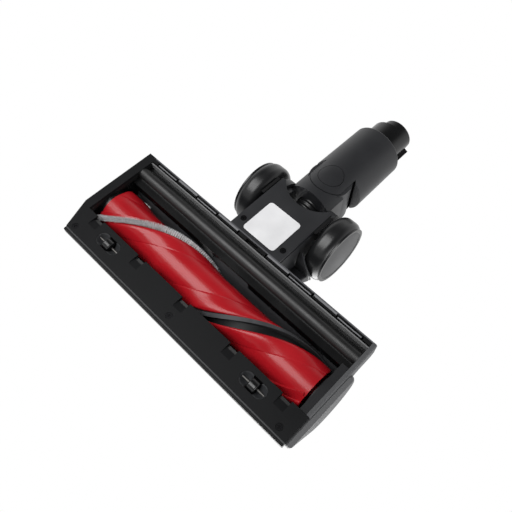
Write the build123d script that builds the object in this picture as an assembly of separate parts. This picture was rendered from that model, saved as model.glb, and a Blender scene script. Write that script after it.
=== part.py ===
from build123d import *
from math import asin, atan2, cos, hypot, radians, sin
import os

# Powered carpet brush head of a cordless stick vacuum.
# Frame: +X to the right seen from the front, +Y to the rear, +Z up, in millimetres.
# The origin lies on the floor under the middle of the whole part.
# Distances named "_from_front" are measured along Y from the front edge of the head.

# Head
head_width = 254.6
head_depth = 95.6
end_dome = 4.6
dome_round = 3.2
dome_tuck = 8.0
deck_skin = 1.0
sole_height = 2.2
sole_thickness = 2.5
wall = 2.5
fit = 0.15
nose_height = 9.0
deck_height = 18.0
deck_round = 9.0
corner_in = 8.8
corner_back = 26.0
bumper_thickness = 3.0
bumper_raise = 0.8
bumper_height = 6.0
bumper_round = 1.2

# Brush roller
roller_from_front = 44.5
bristle_radius = 23.0
bristle_floor_gap = 0.2
core_radius = 17.5
core_bore = 14.5
core_left_end = -110.5
core_right_end = 115.0
land_radius = 18.7
land_width = 9.0
strip_root = 16.4
slot_root = 16.3
slot_side = 0.12
bristle_strip_width = 4.0
bristle_strip_low_x = 76.6
rubber_radius = 22.3
rubber_strip_width = 3.2
rubber_strip_low_x = -45.2
strip_pitch = 213.0
stub_radius = 4.0
stub_length = 7.5
chamber_radius = 23.6
hood_radius = 27.0
running_gap = 0.05

# Roller drive and bearing
mouth_right = 119.0
sleeve_radius = 13.45
sleeve_bore = 12.1
sleeve_end = 22.0
sleeve_flange_radius = 18.0
sleeve_flange = 1.5
motor_radius = 12.0
motor_right = 112.0
motor_left = 30.0
shaft_radius = 1.6
shaft_depth = 30.0
coupling_length = 10.0
coupling_left = 5.0
bearing_radius = 7.0
bearing_width = 4.5
carrier_radius = 18.0
carrier_face = -113.0
rim_inner = -114.2

# Sole plate details
plate_depth = 23.4
end_strip_width = 8.3
notch_pitch = 51.6
notch_width = 9.0
notch_depth = 4.0
ramp_length = 6.0
ramp_depth = 1.2
caster_x = 80.6
caster_from_front = 13.0
caster_radius = 5.0
caster_width = 7.0
caster_round = 1.0
caster_axle_radius = 0.9
caster_axle_length = 21.0
pocket_length = 24.0
pocket_width = 11.4
end_screw_x = 112.8
end_screw_from_front = 4.9
middle_screw_from_front = 6.2
screw_head_radius = 2.6
screw_shank_radius = 1.3
screw_bite = 3.0
screw_sink = 1.6

# Rear of the chassis
shelf_height = 4.0
shelf_depth = 22.0
block_from_front = 68.0
block_bottom = 6.5
bar_from_front = 80.0
bar_radius = 5.5
bar_bottom = 0.5
fin_from_front = 89.6
fin_thickness = 1.0
seal_from_front = 91.4
seal_height = 6.0
seal_slit = 1.2
seal_web = 1.0
seal_band = 2.2
seal_pitch = 24.3
seal_middle = 30.8
duct_width = 40.0
duct_bottom = 8.0

# Neck base
wheel_from_front = 147.6
wheel_radius = 29.5
tyre_inner_x = 30.7
tyre_width = 19.0
tyre_wall = 7.5
tyre_crown = 7.0
cap_radius = 27.2
cap_thickness = 1.4
cap_dish = 1.6
axle_radius = 3.0
axle_inner_x = 15.0
housing_half = 27.5
housing_radius = 25.0
housing_from_front = 72.0
cheek_inner_x = 20.4
fender_half = 41.0
fender_start = 8.0
fender_foot = 21.0
fender_reach = 26.5
fender_low = 30.0
fender_bottom = 34.0
fender_height = 48.0
fender_top = 4.5
fender_round = 2.0
block_rear_from_front = 121.0
cover_length = 62.0
cover_half = 27.0
cutout_from_front = 176.3
cutout_radius = 30.0
cover_screw_x = 21.9
cover_screw_from_front = 105.2

# Neck yoke, hose and tube
arm_thickness = 4.5
arm_gap = 0.4
arm_radius = 21.0
arm_half_height = 14.7
tongue_from_front = 163.0
tongue_radius = 25.4
swivel_from_front = 188.3
knuckle_radius = 19.4
tongue_short = 5.5
cheek_radius = 17.5
cheek_gap = 0.35
cheek_thickness = 5.9
sweep_radius = 21.8
side_relief = 13.0
tube_radius = 26.0
tube_end_radius = 25.0
tube_axis_height = 28.3
tube_front_wall_from_front = 196.0
tube_end_from_front = 257.0
tube_bore = 22.4
hose_radius = 13.0
hose_wall = 1.6
hose_ridge = 1.2
hose_pitch = 4.2
hose_start_from_front = 112.0
hose_length = 64.0
hose_seat = 0.3
pin_radius = 5.0
pin_depth = 12.0
pin_cap_radius = 11.0
pin_cap_thickness = 4.0
pin_cap_line = 0.4
spigot_radius = 15.1
spigot_base_radius = 15.4
spigot_bore = 12.8
spigot_length = 32.5
spigot_raise = 4.0
spigot_flange = 4.0
key_radius = 20.3
key_length = 21.5
key_from = -118.0
key_to = 0.0
rib_reach = 19.3
rib_width = 3.0
rib_length = 28.5
rib_turn = 25.0
contact_depth = 10.0
contact_pin_radius = 0.9
contact_pin_pitch = 6.0

# Places worked out from the sizes above
front = -(tube_end_from_front + spigot_length - bumper_thickness) / 2
rear = front + head_depth
body_half = head_width / 2 - end_dome
end_strip_inner = head_width / 2 - end_strip_width
plate_top = sole_height + sole_thickness
deck_z = sole_height + deck_height
roller_y = front + roller_from_front
roller_z = bristle_radius + bristle_floor_gap
wheel_y = front + wheel_from_front
wheel_z = wheel_radius
tyre_bore = wheel_radius - tyre_wall
swivel_y = front + swivel_from_front
tube_z = tube_axis_height
spigot_z = tube_z + spigot_raise
tube_end = front + tube_end_from_front
tyre_outer_x = tyre_inner_x + tyre_width
cheek_low = tube_z - tube_radius + cheek_thickness
cheek_high = tube_z + tube_radius - cheek_thickness


def block(x0, x1, y0, y1, z0, z1):
    return Pos((x0 + x1) / 2, (y0 + y1) / 2, (z0 + z1) / 2) * Box(x1 - x0, y1 - y0, z1 - z0)


def rod_x(x0, x1, y, z, radius):
    return Pos((x0 + x1) / 2, y, z) * Rot(0, 90, 0) * Cylinder(radius, abs(x1 - x0))


def rod_y(y0, y1, x, z, radius):
    return Pos(x, (y0 + y1) / 2, z) * Rot(90, 0, 0) * Cylinder(radius, abs(y1 - y0))


def rod_z(z0, z1, x, y, radius):
    return Pos(x, y, (z0 + z1) / 2) * Cylinder(radius, abs(z1 - z0))


def rectangle(y0, y1, z0, z1):
    return Pos((y0 + y1) / 2, (z0 + z1) / 2) * Rectangle(y1 - y0, z1 - z0)


def along_x(section, x0, x1):
    """Extrude a section drawn in (y, z) from x0 to x1."""
    return Pos(x0, 0, 0) * extrude(Plane.YZ * section, x1 - x0)


def turned_about_y(points, x, z):
    """Revolve an outline of (radius, y) points about the line along Y through x, z."""
    outline = make_face(Polyline(*points, close=True))
    return Pos(x, 0, z) * revolve(Plane.XY * outline, Axis.Y)


def near(vertices, y, z):
    """Pick the vertex of a section that lies closest to (y, z)."""
    return min(vertices, key=lambda v: (v.X - y) ** 2 + (v.Y - z) ** 2)


def arch_section():
    """Front of the head's outline: sloping nose and round arch over the roller."""
    nose_z = sole_height + nose_height
    reach = hypot(roller_from_front, roller_z - nose_z)
    slope = atan2(roller_z - nose_z, roller_from_front) + asin(hood_radius / reach)
    run = (reach ** 2 - hood_radius ** 2) ** 0.5
    touch = (front + run * cos(slope), nose_z + run * sin(slope))
    nose = make_face(Polyline(
        (front, plate_top), (front, nose_z), touch, (roller_y, roller_z), (roller_y, plate_top), close=True))
    arch = Pos(roller_y, roller_z) * Rot(0, 0, -90) * Circle(hood_radius)
    outline = arch + nose - rectangle(front - wall, rear + wall, -2 * hood_radius, plate_top)
    return fillet(near(outline.vertices(), front, nose_z), wall)


def hood_section(bottom):
    """Outline of the head: nose and arch, then the low deck behind them."""
    outline = arch_section() + rectangle(roller_y, rear, plate_top, deck_z)
    arch_foot = roller_y + (hood_radius ** 2 - (deck_z - roller_z) ** 2) ** 0.5
    outline = fillet(near(outline.vertices(), arch_foot, deck_z), deck_round)
    outline = fillet(near(outline.vertices(), rear, deck_z), 2 * wall)
    if bottom < plate_top:
        outline = outline + rectangle(front + plate_depth, rear, bottom, plate_top)
    return outline


def corner_cut():
    """Slanting cut that takes off the front corner at the +X end."""
    tip = head_width / 2
    outline = Polyline(
        (tip - corner_in, front - 2 * bumper_thickness),
        (tip - corner_in, front),
        (tip, front + corner_back),
        (tip + wall, front + corner_back),
        (tip + wall, front - 2 * bumper_thickness),
        close=True,
    )
    return extrude(make_face(outline), 2 * hood_radius + plate_top)


def make_hood():
    outer = hood_section(plate_top)
    inner = offset(outer, -wall)
    inner = inner + rectangle(front + wall, rear - wall, plate_top - wall, plate_top + 2 * wall)
    shell = along_x(outer - inner, -body_half, body_half)
    duct = block(-duct_width / 2, duct_width / 2, rear - 2 * wall, rear + wall,
                 sole_height + duct_bottom, deck_z - wall)
    seal_seat = block(-body_half, body_half, rear - wall - fit, rear + wall, 0, sole_height + seal_height)
    return shell - corner_cut() - duct - seal_seat


def make_chassis():
    """Lower frame: front shelf, rear block with its round bar, one closed and one open end wall."""
    room = offset(hood_section(plate_top), -(wall + fit))
    room = room + rectangle(front + wall + fit, rear - wall - fit, plate_top, plate_top + 2 * wall)
    chamber = Pos(roller_y, roller_z) * Circle(chamber_radius)
    drive_wall = along_x(room, mouth_right, body_half)
    drive_wall -= rod_x(mouth_right, body_half, roller_y, roller_z, sleeve_bore)
    open_wall = along_x(room - chamber, -body_half, -body_half + wall)
    shelf = rectangle(front + wall + fit, front + shelf_depth, plate_top, plate_top + shelf_height)
    floor_z = sole_height + block_bottom
    back = rectangle(front + block_from_front, rear - wall - fit, floor_z, deck_z - wall - fit)
    bar_z = sole_height + bar_bottom + bar_radius
    back = (back & room) - chamber
    back = back + Pos(front + bar_from_front, bar_z) * Circle(bar_radius)
    fin = front + fin_from_front
    back = back + rectangle(fin, fin + fin_thickness, sole_height + fin_thickness, floor_z + fin_thickness)
    frame = drive_wall + open_wall + along_x(shelf, -body_half, body_half)
    frame = frame + along_x(back, -body_half, mouth_right)
    duct = block(-duct_width / 2, duct_width / 2, front + block_from_front - wall, rear,
                 sole_height + duct_bottom, deck_z)
    cap_foot = block(-body_half - fit, -body_half + wall + fit, front + plate_depth, rear, 0, plate_top)
    frame = frame - duct - corner_cut() - cap_foot
    for side in (-1, 1):
        frame -= Pos(0, 0, plate_top) * caster_pocket(side)
        frame -= caster_axle_seat(side)
    for x, y in sole_screw_places():
        frame -= rod_z(plate_top, plate_top + screw_bite + fit, x, y, screw_shank_radius + fit)
    return frame


def caster_axle_seat(side):
    """Groove in the shelf that the caster axle lies in, open towards the sole plate."""
    x = side * caster_x
    half = caster_axle_length / 2 + fit
    y = front + caster_from_front
    seat = rod_x(x - half, x + half, y, caster_radius, caster_axle_radius + fit)
    return seat + block(x - half, x + half, y - caster_axle_radius - fit, y + caster_axle_radius + fit,
                        plate_top, caster_radius)


def caster_pocket(side):
    slot = SlotOverall(pocket_length, pocket_width)
    return Pos(side * caster_x, front + caster_from_front, 0) * extrude(slot, 2 * shelf_height)


def sole_screw_places():
    return [
        (-end_screw_x, front + end_screw_from_front),
        (0, front + middle_screw_from_front),
        (end_screw_x, front + end_screw_from_front),
    ]


def make_sole_plate():
    tip = head_width / 2
    plate = block(-body_half, tip, front, front + plate_depth, sole_height, plate_top)
    plate += block(end_strip_inner, tip, front, rear, sole_height, plate_top)
    mouth = front + plate_depth
    for i in range(-2, 3):
        x = i * notch_pitch
        half = notch_width / 2
        plate -= block(x - half, x + half, mouth - notch_depth, mouth + wall, 0, plate_top)
        edge = mouth - notch_depth
        ramp_top = sole_height + ramp_depth
        ramp = make_face(Polyline(
            (edge, sole_height), (edge, ramp_top), (edge - ramp_length, sole_height), close=True))
        plate -= along_x(ramp, x - half, x + half)
    for side in (-1, 1):
        plate -= caster_pocket(side)
    for x, y in sole_screw_places():
        plate -= rod_z(sole_height, sole_height + screw_sink, x, y, screw_head_radius + fit)
        plate -= rod_z(sole_height, plate_top, x, y, screw_shank_radius + fit)
    return plate - corner_cut()


def make_screw(x, y, base):
    """Pan-head screw with a cross recess, its head facing down at the given height."""
    head_z = base + screw_sink
    head = rod_z(base + fit, head_z, x, y, screw_head_radius)
    head -= block(x - screw_head_radius / 2, x + screw_head_radius / 2, y - fit * 2, y + fit * 2,
                  base, base + screw_sink / 2)
    head -= block(x - fit * 2, x + fit * 2, y - screw_head_radius / 2, y + screw_head_radius / 2,
                  base, base + screw_sink / 2)
    return head + rod_z(head_z, plate_top + screw_bite, x, y, screw_shank_radius)


def make_bumper():
    z0 = sole_height + bumper_raise
    band = block(-body_half, head_width / 2 - corner_in, front - bumper_thickness, front,
                 z0, z0 + bumper_height)
    outer = band.edges().filter_by(Axis.X).group_by(Axis.Y)[0]
    return fillet(outer, bumper_round)


def seal_slits():
    """Slit positions: a long middle segment, then equal segments to both ends."""
    places = []
    x = seal_middle / 2
    while x < body_half - seal_slit:
        places += [-x, x]
        x += seal_pitch
    return sorted(places)


def make_rear_seal():
    y0 = front + seal_from_front
    bottom = sole_height
    strip = block(fit + wall - body_half, end_strip_inner - fit, y0, rear, bottom, bottom + seal_height)
    slits = seal_slits()
    slit_top = bottom + seal_height - seal_band
    for x in slits:
        strip -= block(x - seal_slit / 2, x + seal_slit / 2, y0, rear - seal_web, bottom, slit_top)
    half = seal_pitch / 4
    step = (rear - y0) / 2
    for i in range(0, len(slits) - 1, 2):
        middle = (slits[i] + slits[i + 1]) / 2
        strip -= block(middle - half, middle + half, y0, y0 + step, bottom, slit_top)
    return strip


def make_end_cap():
    """Removable domed cap at the -X end, drawn in at the foot, with a strip along the sole."""
    tip = head_width / 2
    dome = along_x(arch_section(), -tip, -body_half)
    rim = dome.faces().sort_by(Axis.X)[0].edges()
    dome = fillet(rim, dome_round)
    dome += along_x(hood_section(sole_height), -body_half - deck_skin, -body_half)
    tuck = Plane.XZ * make_face(Polyline(
        (-body_half - fit, 0), (-body_half - fit, sole_height), (-tip, sole_height + dome_tuck),
        (-tip - wall, sole_height + dome_tuck), (-tip - wall, 0), close=True))
    dome -= Pos(0, rear + wall, 0) * extrude(tuck, head_depth + 2 * wall)
    return dome + block(-body_half, -body_half + wall, front + plate_depth + fit, rear,
                        sole_height, plate_top - fit)


def make_drive_cover():
    """Domed cover over the drive end at +X, standing on the strip of the sole plate."""
    dome = along_x(hood_section(plate_top), body_half, head_width / 2)
    rim = dome.faces().sort_by(Axis.X)[-1].edges()
    return fillet(rim, dome_round) - corner_cut()


def strip_angle(x, low_x):
    """Angle of a strip about the roller axis at x, in degrees from straight down towards the rear."""
    return (low_x - x) * 360 / strip_pitch


def helix_bar(inner, outer, width, x0, x1, low_x):
    """Radial bar of rectangular section wound about the roller axis from x0 to x1."""
    middle = (inner + outer) / 2
    path = Helix(pitch=strip_pitch, height=x1 - x0, radius=middle, lefthand=True)
    start = path @ 0
    across = Plane(origin=start, x_dir=(start.X, start.Y, 0), z_dir=path % 0)
    bar = sweep(across * Rectangle(outer - inner, width), path=path, is_frenet=True)
    # The helix rises along Z from the +X direction; laid along X it starts straight down at x0.
    turn = strip_angle(x0, low_x)
    bar = Pos(x0, roller_y, roller_z) * Rot(turn, 0, 0) * Rot(0, 90, 0) * bar
    return bar & rod_x(x0, x1, roller_y, roller_z, 2 * outer)


def make_roller_core():
    core = rod_x(core_left_end, core_right_end, roller_y, roller_z, core_radius)
    ends = (core_left_end, core_right_end)
    for low_x, _, _ in strips():
        core += helix_bar(slot_root, land_radius, land_width, *ends, low_x)
    for low_x, width, tip in strips():
        core -= helix_bar(slot_root, tip, width + 2 * slot_side, *ends, low_x)
    core -= rod_x(core_left_end + 2 * wall, core_right_end, roller_y, roller_z, core_bore)
    stub = rod_x(core_left_end - stub_length, core_left_end + wall, roller_y, roller_z, stub_radius)
    return core + stub


def strips():
    """Lowest point along X, width and tip radius of the bristle strip and of the rubber strip."""
    return [
        (bristle_strip_low_x, bristle_strip_width, bristle_radius),
        (rubber_strip_low_x, rubber_strip_width, rubber_radius),
    ]


def make_strip(index):
    low_x, width, tip = strips()[index]
    return helix_bar(strip_root, tip, width, core_left_end, core_right_end, low_x)


def make_drive_hub():
    hub_end = mouth_right - sleeve_flange - 2 * fit
    hub = rod_x(core_right_end, hub_end, roller_y, roller_z, core_radius)
    return hub - rod_x(core_right_end, hub_end, roller_y, roller_z, sleeve_radius + running_gap)


def make_motor_sleeve():
    sleeve = rod_x(sleeve_end, mouth_right, roller_y, roller_z, sleeve_radius)
    sleeve += rod_x(mouth_right - sleeve_flange, mouth_right, roller_y, roller_z, sleeve_flange_radius)
    return sleeve - rod_x(sleeve_end, mouth_right, roller_y, roller_z, sleeve_bore)


def make_motor():
    can = rod_x(motor_left, motor_right, roller_y, roller_z, motor_radius)
    nose = rod_x(motor_left - wall, motor_left, roller_y, roller_z, motor_radius / 2)
    bore = rod_x(motor_left - wall, motor_left + shaft_depth, roller_y, roller_z, shaft_radius + running_gap)
    return can + nose - bore


def make_motor_shaft():
    return rod_x(coupling_left, motor_left + shaft_depth - wall, roller_y, roller_z, shaft_radius)


def make_coupling():
    right = coupling_left + coupling_length
    disc = rod_x(coupling_left, right, roller_y, roller_z, core_bore - running_gap)
    return disc - rod_x(coupling_left, right, roller_y, roller_z, shaft_radius + running_gap / 2)


def make_bearing_carrier():
    """Holder on the inside of the end cap: a round seat for the bearing and a rim along the mouth."""
    back = -body_half
    rim_outer = back + wall + fit
    seat = rod_x(back, carrier_face, roller_y, roller_z, carrier_radius)
    seat += block(rim_outer, rim_inner, front + plate_depth + fit, front + block_from_front,
                  sole_height, plate_top - fit)
    seat += block(rim_outer, rim_inner, roller_y - bearing_radius, roller_y + bearing_radius,
                  sole_height, roller_z)
    seat -= rod_x(carrier_face - bearing_width, carrier_face, roller_y, roller_z, bearing_radius)
    return seat - rod_x(back + wall, carrier_face, roller_y, roller_z, stub_radius + 2 * fit)


def make_end_bearing():
    back = carrier_face - bearing_width
    ring = rod_x(back, carrier_face, roller_y, roller_z, bearing_radius)
    return ring - rod_x(back, carrier_face, roller_y, roller_z, stub_radius + running_gap)


def make_tyre(side):
    """Round-shouldered tyre, turned about the wheel axle."""
    outer = [(tyre_bore, tyre_inner_x), (wheel_radius, tyre_inner_x), (wheel_radius, tyre_outer_x),
             (tyre_bore, tyre_outer_x)]
    section = make_face(Polyline(*outer, close=True))
    crown = [v for v in section.vertices() if v.X > tyre_bore + wall]
    section = fillet(crown, tyre_crown)
    return wheel_turned(section, side) - cap_space(side)


def cap_space(side):
    x = tyre_outer_x
    return rod_x(side * (x - cap_thickness), side * (x + wall), wheel_y, wheel_z, cap_radius + fit)


def wheel_turned(section, side):
    """Revolve a section of (radius, distance along the axle) about the wheel axle."""
    solid = revolve(Plane.XY * section, Axis.Y)
    return Pos(0, wheel_y, wheel_z) * Rot(0, 0, -90 * side) * solid


def make_hub(side):
    """Wheel centre with a shallow dished cap on the outside and a hollow back."""
    face = tyre_outer_x
    points = [
        (axle_radius + running_gap, tyre_inner_x + wall),
        (axle_radius + 2 * wall, tyre_inner_x + wall),
        (axle_radius + 2 * wall, face - 3 * wall),
        (tyre_bore - wall, face - 3 * wall),
        (tyre_bore - wall, tyre_inner_x + 2 * wall),
        (tyre_bore, tyre_inner_x + 2 * wall),
        (tyre_bore, face - cap_thickness),
        (cap_radius, face - cap_thickness),
        (cap_radius, face),
        (cap_radius - wall, face),
        (cap_radius - 2 * wall, face - cap_dish),
        (axle_radius, face - cap_dish),
        (0, face - cap_dish),
        (0, face - 2 * wall),
        (axle_radius + running_gap, face - 2 * wall),
    ]
    return wheel_turned(make_face(Polyline(*points, close=True)), side)


def make_axle(side):
    x0, x1 = sorted((side * axle_inner_x, side * (tyre_outer_x - 2 * wall - fit)))
    return rod_x(x0, x1, wheel_y, wheel_z, axle_radius)


def make_caster(side):
    x = side * caster_x
    y = front + caster_from_front
    half = caster_width / 2
    wheel = rod_x(x - half, x + half, y, caster_radius, caster_radius)
    wheel = fillet(wheel.edges().filter_by(GeomType.CIRCLE), caster_round)
    return wheel - rod_x(x - half, x + half, y, caster_radius, caster_axle_radius + running_gap)


def make_caster_axle(side):
    x = side * caster_x
    half = caster_axle_length / 2
    return rod_x(x - half, x + half, front + caster_from_front, caster_radius, caster_axle_radius)


def make_neck_housing():
    """Upper neck housing: wedge from the deck to the axle, two cheeks, fenders before the wheels."""
    drum = Pos(wheel_y, wheel_z) * Circle(housing_radius)
    start = rectangle(rear, rear + wall, plate_top, deck_z)
    low = make_hull(drum.edges() + start.edges())
    toe = rectangle(front + housing_from_front, rear, deck_z, deck_z + wall / 2)
    high = make_hull(drum.edges() + toe.edges())
    high -= rectangle(front, rear, 0, deck_z - 2 * wall)
    side_view = low + high - offset(hood_section(plate_top), fit)
    side_view -= rectangle(front, wheel_y + 2 * housing_radius, -2 * housing_radius, plate_top)
    body = along_x(side_view, -housing_half, housing_half)
    fender_front = rear + fender_start
    fender_rear = rear + fender_reach
    fender = make_face(Polyline(
        (fender_front, fender_low), (fender_front, fender_bottom), (fender_rear - fender_top, fender_height),
        (fender_rear, fender_height), (rear + fender_foot, fender_bottom), close=True))
    wing = along_x(fender, -fender_half, fender_half)
    tips = wing.faces().sort_by(Axis.X)
    wing = fillet(tips[0].edges() + tips[-1].edges(), fender_round)
    body = body + wing
    block_rear = front + block_rear_from_front
    body -= block(-cheek_inner_x, cheek_inner_x, block_rear, wheel_y + 2 * housing_radius,
                  0, 3 * housing_radius)
    inlet = Plane((0, rear - wall, 0), x_dir=(1, 0, 0), z_dir=(0, 1, 0))
    mouth_z = (sole_height + duct_bottom + deck_z - wall) / 2
    gate = inlet * Pos(0, -mouth_z) * Rectangle(duct_width, deck_z - wall - sole_height - duct_bottom)
    seat = Plane((0, block_rear, tube_z), x_dir=(1, 0, 0), z_dir=(0, 1, 0)) * Circle(hose_radius + hose_seat)
    body -= loft([gate.face(), seat.face()])
    body -= rod_y(front + hose_start_from_front - fit, block_rear, 0, tube_z, hose_radius + hose_seat)
    for side in (-1, 1):
        x0, x1 = sorted((side * cheek_inner_x, side * (housing_half + wall)))
        body -= rod_x(x0, x1, wheel_y, wheel_z, axle_radius + running_gap)
        body -= rod_z(plate_top, plate_top + screw_bite + fit, side * cover_screw_x,
                      front + cover_screw_from_front, screw_shank_radius + fit)
    return body


def make_neck_cover():
    """Flat lower cover of the neck base with a round cut-out for the hose and two screw holes."""
    cover = block(-cover_half, cover_half, rear, rear + cover_length, sole_height, plate_top)
    cover -= rod_z(0, 2 * plate_top, 0, front + cutout_from_front, cutout_radius)
    for side in (-1, 1):
        x = side * cover_screw_x
        y = front + cover_screw_from_front
        cover -= rod_z(sole_height, sole_height + screw_sink, x, y, screw_head_radius + fit)
        cover -= rod_z(sole_height, plate_top, x, y, screw_shank_radius + fit)
    return cover


def make_yoke():
    """Forked neck elbow: two arms on the axles, a tongue round the hose and a knuckle on the swivel."""
    tongue_y = front + tongue_from_front
    half = cheek_inner_x - arm_gap
    body = rod_y(tongue_y, swivel_y, 0, tube_z, tongue_radius)
    body = body & block(-half, half, tongue_y, swivel_y, 0, 3 * tongue_radius)
    clear_radius = cheek_radius + cheek_gap
    body -= rod_z(0, cheek_low + cheek_gap, 0, swivel_y, clear_radius)
    body -= rod_z(cheek_high - cheek_gap, 3 * tube_radius, 0, swivel_y, clear_radius)
    body -= block(-half, half, swivel_y - tongue_short, swivel_y, 0, 3 * tube_radius)
    body += rod_z(cheek_low + cheek_gap, cheek_high - cheek_gap, 0, swivel_y, knuckle_radius)
    for side in (-1, 1):
        x0, x1 = sorted((side * half, side * (half - arm_thickness)))
        arm = rod_x(x0, x1, wheel_y, wheel_z, arm_radius)
        arm += block(x0, x1, wheel_y, tongue_y + wall, wheel_z - arm_half_height, wheel_z + arm_half_height)
        body += arm - rod_x(x0, x1, wheel_y, wheel_z, axle_radius + running_gap)
    body -= rod_y(tongue_y - wall, swivel_y + 2 * knuckle_radius, 0, tube_z, hose_radius + hose_seat)
    for z0, z1 in pin_spans():
        body -= rod_z(z0, z1, 0, swivel_y, pin_radius + running_gap)
    return body


def pin_spans():
    """Heights of the lower and the upper swivel pin."""
    low = tube_z - tube_radius + pin_cap_thickness
    high = tube_z + tube_radius - pin_cap_thickness
    return [(low, low + pin_depth - pin_cap_thickness), (high - pin_depth + pin_cap_thickness, high)]


def make_swivel_pin(index):
    """Swivel pin with a round cap that follows the outside of the tube."""
    z0, z1 = pin_spans()[index]
    pin = rod_z(z0, z1, 0, swivel_y, pin_radius)
    outside = (0, z0) if index == 0 else (z1, 3 * tube_radius)
    return pin + (rod_z(*outside, 0, swivel_y, pin_cap_radius) & tube_skin())


def make_hose():
    """Corrugated hose: a row of round ridges turned about its own axis."""
    y0 = front + hose_start_from_front
    count = int(hose_length / hose_pitch)
    points = [(hose_radius - hose_wall - hose_ridge, y0)]
    for i in range(count):
        y = y0 + i * hose_pitch
        points += [(hose_radius - hose_ridge, y), (hose_radius, y + hose_pitch / 4),
                   (hose_radius, y + hose_pitch / 2), (hose_radius - hose_ridge, y + hose_pitch * 3 / 4)]
    end = y0 + count * hose_pitch
    points += [(hose_radius - hose_ridge, end), (hose_radius - hose_wall - hose_ridge, end)]
    return turned_about_y(points, 0, tube_z)


def tube_skin():
    """Outside of the neck tube as a solid, tapering to its end."""
    start = swivel_y - cheek_radius
    points = [(0, start), (tube_radius, start), (tube_radius, swivel_y), (tube_end_radius, tube_end),
              (0, tube_end)]
    body = turned_about_y(points, 0, tube_z)
    return fillet(body.edges().sort_by(Axis.Y)[-1], wall / 2)


def make_tube():
    """Outer tube of the neck: two cheeks round the knuckle, then a closed front wall and an open rear."""
    start = swivel_y - cheek_radius
    body = tube_skin()
    body -= block(-2 * tube_radius, 2 * tube_radius, start, swivel_y + side_relief, cheek_low, cheek_high)
    outside = block(-2 * tube_radius, 2 * tube_radius, start, swivel_y, 0, 3 * tube_radius)
    body -= outside - rod_z(0, 3 * tube_radius, 0, swivel_y, cheek_radius)
    body -= rod_z(cheek_low, cheek_high, 0, swivel_y, sweep_radius)
    wall_y = front + tube_front_wall_from_front
    body -= rod_y(wall_y + sweep_radius / 2, tube_end, 0, tube_z, tube_bore)
    body -= rod_y(wall_y, tube_end, 0, tube_z, hose_radius + hose_seat)
    for z0, z1 in pin_spans():
        body -= rod_z(z0, z1, 0, swivel_y, pin_radius)
    low, high = pin_spans()[0][0], pin_spans()[1][1]
    body -= rod_z(0, low, 0, swivel_y, pin_cap_radius + pin_cap_line)
    body -= rod_z(high, 3 * tube_radius, 0, swivel_y, pin_cap_radius + pin_cap_line)
    return body


def make_spigot():
    """Air spigot with its flange in the tube end, a key on one side, a rib on the other and a free tip."""
    y0 = swivel_y + sweep_radius + fit
    y1 = tube_end + spigot_length
    foot = tube_end - wall
    pipe = rod_y(y0, tube_end + rib_length, 0, spigot_z, spigot_base_radius)
    pipe += rod_y(y0, y1, 0, spigot_z, spigot_radius)
    pipe += rod_y(tube_end - spigot_flange, tube_end, 0, tube_z, tube_bore - fit)
    corners = [(0, spigot_z)]
    for angle in (key_from, (key_from + key_to) / 2, key_to):
        turn = radians(angle)
        corners.append((2 * key_radius * cos(turn), spigot_z + 2 * key_radius * sin(turn)))
    sector = Plane.XZ * make_face(Polyline(*corners, close=True))
    sector = Pos(0, tube_end + key_length, 0) * extrude(sector, key_length + wall)
    pipe += rod_y(foot, tube_end + key_length, 0, spigot_z, key_radius) & sector
    rib = block(-rib_reach, 0, foot, tube_end + rib_length, -rib_width / 2, rib_width / 2)
    pipe += Pos(0, 0, spigot_z) * Rot(0, rib_turn, 0) * rib
    for x, y0_pin, y1_pin, z in contact_places():
        pipe -= rod_y(y0_pin, y1_pin + wall, x, z, contact_pin_radius)
    return pipe - rod_y(y0, y1, 0, spigot_z, spigot_bore)


def contact_places():
    z = spigot_z - (spigot_base_radius + key_radius) / 2
    tip = tube_end + key_length - wall / 2
    return [(side * contact_pin_pitch / 2, tip - contact_depth, tip, z) for side in (-1, 1)]


def make_contact_pins():
    return [rod_y(y0, y1, x, z, contact_pin_radius) for x, y0, y1, z in contact_places()]


def build_parts():
    cover_y = front + cover_screw_from_front
    parts = {
        "hood": make_hood(),
        "chassis": make_chassis(),
        "sole_plate": make_sole_plate(),
        "bumper_lip": make_bumper(),
        "rear_seal": make_rear_seal(),
        "end_cap": make_end_cap(),
        "drive_cover": make_drive_cover(),
        "roller_core": make_roller_core(),
        "bristle_strip": make_strip(0),
        "rubber_strip": make_strip(1),
        "drive_hub": make_drive_hub(),
        "motor_sleeve": make_motor_sleeve(),
        "brush_motor": make_motor(),
        "motor_shaft": make_motor_shaft(),
        "drive_coupling": make_coupling(),
        "bearing_carrier": make_bearing_carrier(),
        "end_bearing": make_end_bearing(),
        "neck_housing": make_neck_housing(),
        "neck_cover": make_neck_cover(),
        "yoke": make_yoke(),
        "hose": make_hose(),
        "neck_tube": make_tube(),
        "swivel_pin_lower": make_swivel_pin(0),
        "swivel_pin_upper": make_swivel_pin(1),
        "spigot": make_spigot(),
        "contact_pins": Compound(make_contact_pins()),
        "sole_screws": Compound([make_screw(x, y, sole_height) for x, y in sole_screw_places()]),
        "cover_screws": Compound([make_screw(s * cover_screw_x, cover_y, sole_height) for s in (-1, 1)]),
    }
    for side, name in ((1, "right"), (-1, "left")):
        parts[name + "_tyre"] = make_tyre(side)
        parts[name + "_hub"] = make_hub(side)
        parts[name + "_axle"] = make_axle(side)
        parts[name + "_caster"] = make_caster(side)
        parts[name + "_caster_axle"] = make_caster_axle(side)
    return parts


os.makedirs("parts", exist_ok=True)
for node, solid in build_parts().items():
    export_step(solid, f"parts/{node}.step")
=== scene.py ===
import bmesh
import bpy
from math import atan, cos, pi, radians, sin
from mathutils import Matrix, Vector


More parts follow.
